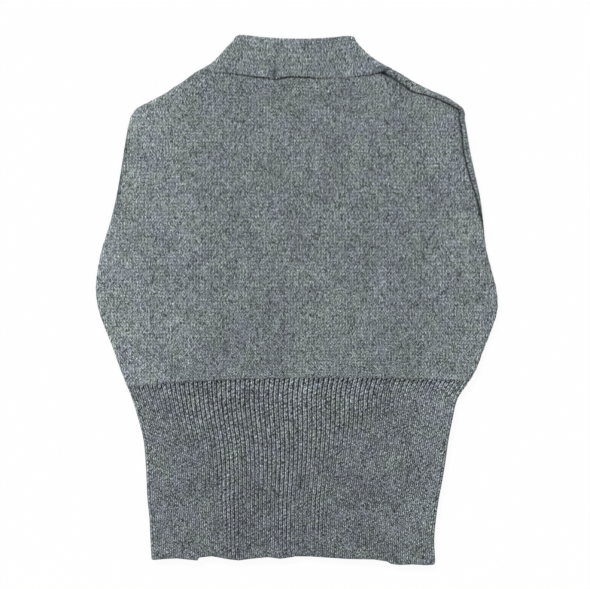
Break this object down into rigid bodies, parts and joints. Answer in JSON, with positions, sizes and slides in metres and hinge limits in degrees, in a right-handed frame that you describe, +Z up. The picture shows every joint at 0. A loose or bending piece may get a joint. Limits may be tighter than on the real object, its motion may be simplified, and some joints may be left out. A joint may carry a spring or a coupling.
{
  "type": "cat sweater",
  "caption": "Sleeveless knitted pullover for a cat, laid flat, with a long ribbed lower part, a doubled neck band and narrow bands round its armholes.",
  "frame": {"origin": "On the surface the garment lies on, under the middle of its outline.", "axes": "+X runs across the garment to its right as seen from above, +Y from hem to neck, +Z up from the surface, out of the back."},
  "size_m": [0.2582, 0.3396, 0.0068],
  "materials": {
    "jersey": "plain knit in a mottled mid grey wool blend, faintly bluish green, with a soft fuzz",
    "rib": "ribbed knit of the same yarn, with dark grooves between its ribs",
    "collar_knit": "doubled neck band of the same yarn, a little lighter",
    "band_knit": "narrow armhole band of the same yarn, its stitches across the band"
  },
  "bodies": {
    "root": {"back_body": "jersey", "front_body": "jersey", "back_rib": "rib", "front_rib": "rib", "collar": "collar_knit", "armhole_band_left": "band_knit", "armhole_band_right": "band_knit"}
  },
  "joints": []
}
